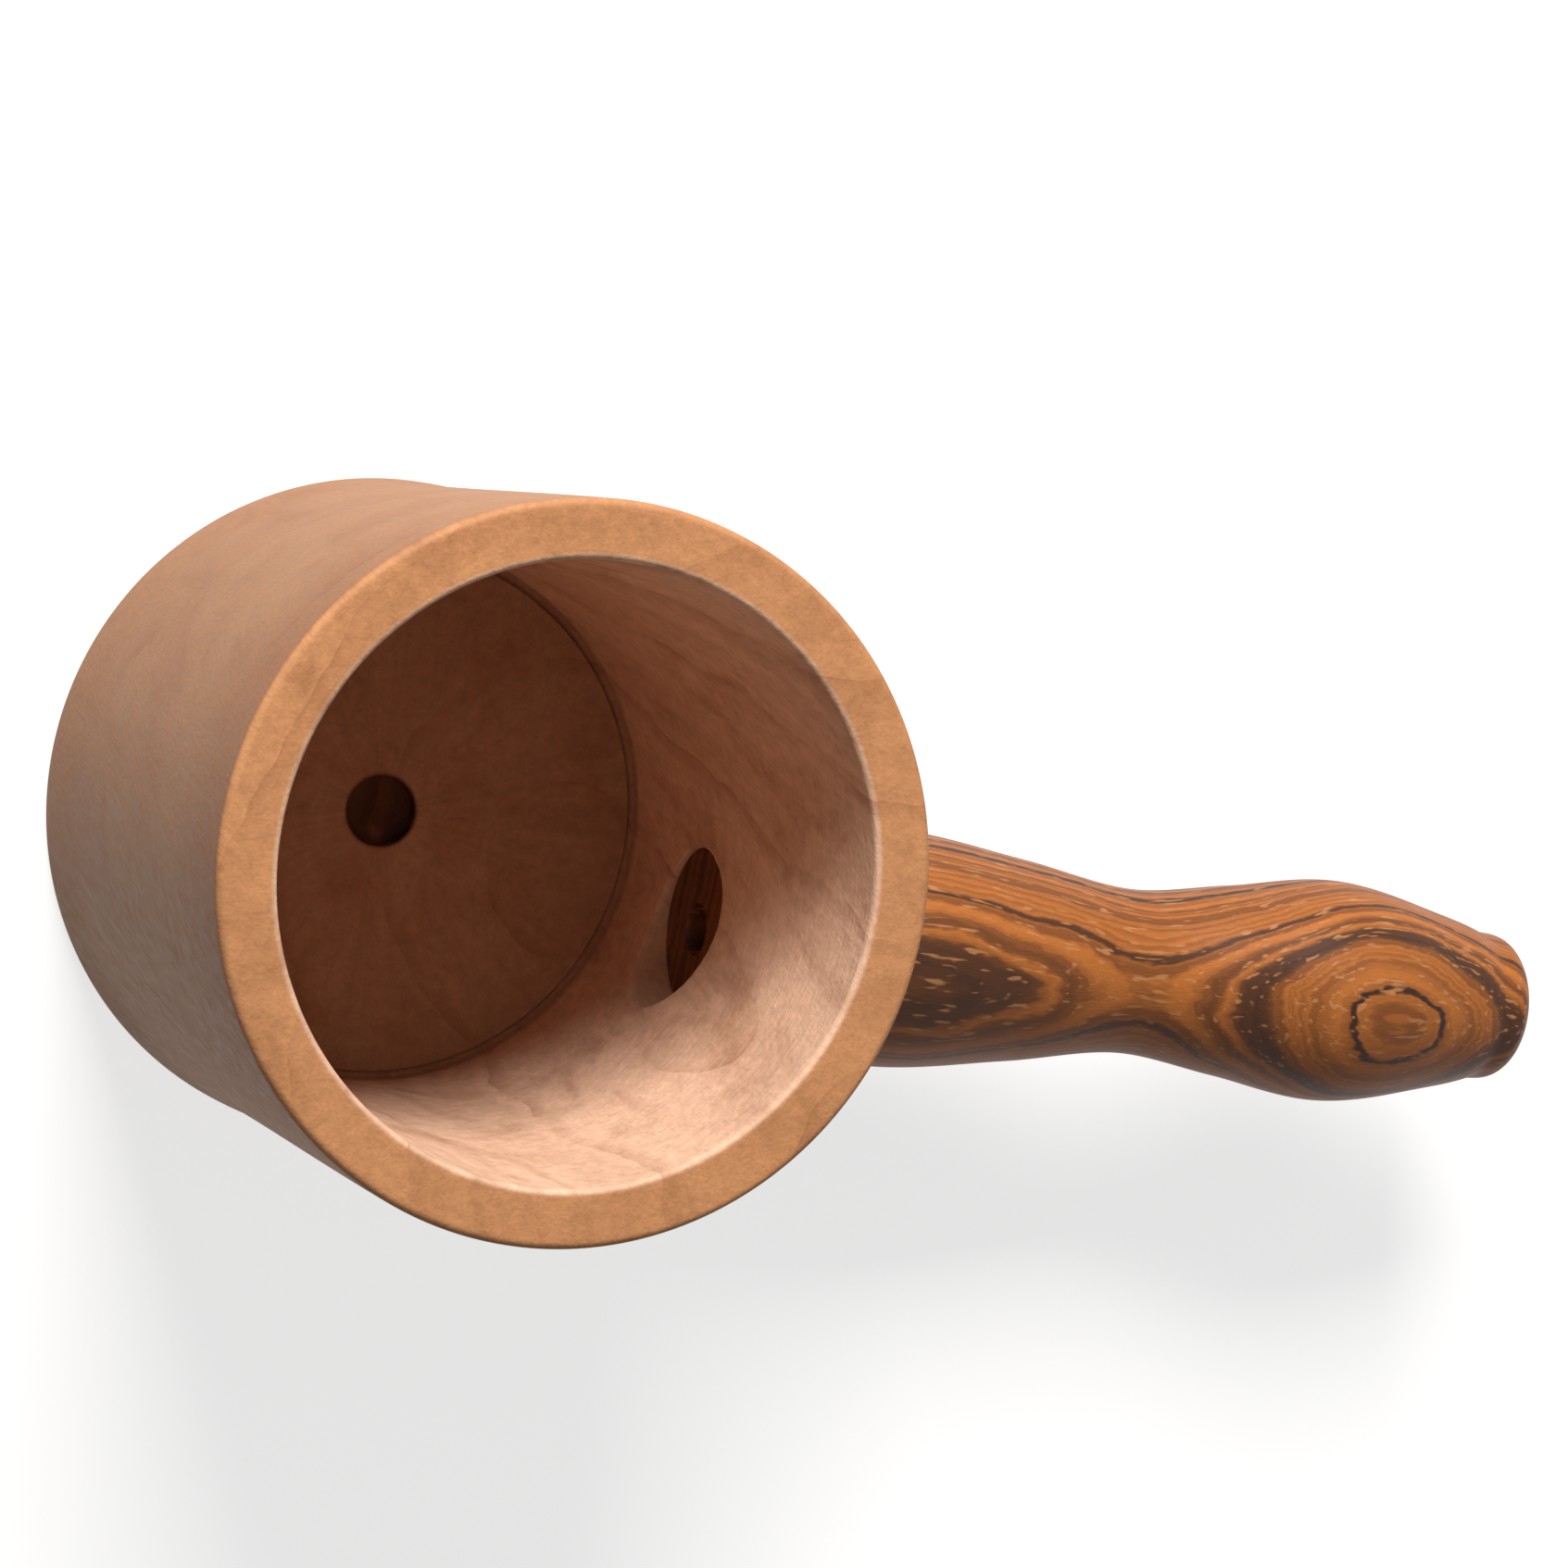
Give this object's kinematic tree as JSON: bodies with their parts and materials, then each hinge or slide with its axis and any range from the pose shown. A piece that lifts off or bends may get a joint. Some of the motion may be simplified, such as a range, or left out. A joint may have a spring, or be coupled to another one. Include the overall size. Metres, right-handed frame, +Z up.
{
  "type": "wooden cup with a turned handle",
  "caption": "Straight-sided turned wooden cup with a flat lip and a turned wooden handle tenoned into its side, for drinking, dipping or ladling.",
  "frame": {"origin": "centre of the cup's flat base, on the surface that it stands on", "axes": "+Z up the vessel's turning axis towards the mouth, +X along the handle away from the vessel"},
  "size_m": [0.1868, 0.08, 0.078],
  "materials": {
    "cup_wood": "bare turned wood, satin, light reddish tan",
    "handle_wood": "oiled striped hardwood, satin, golden brown with dark brown layers"
  },
  "bodies": {
    "root": {"cup": "cup_wood", "handle": "handle_wood"}
  },
  "joints": []
}
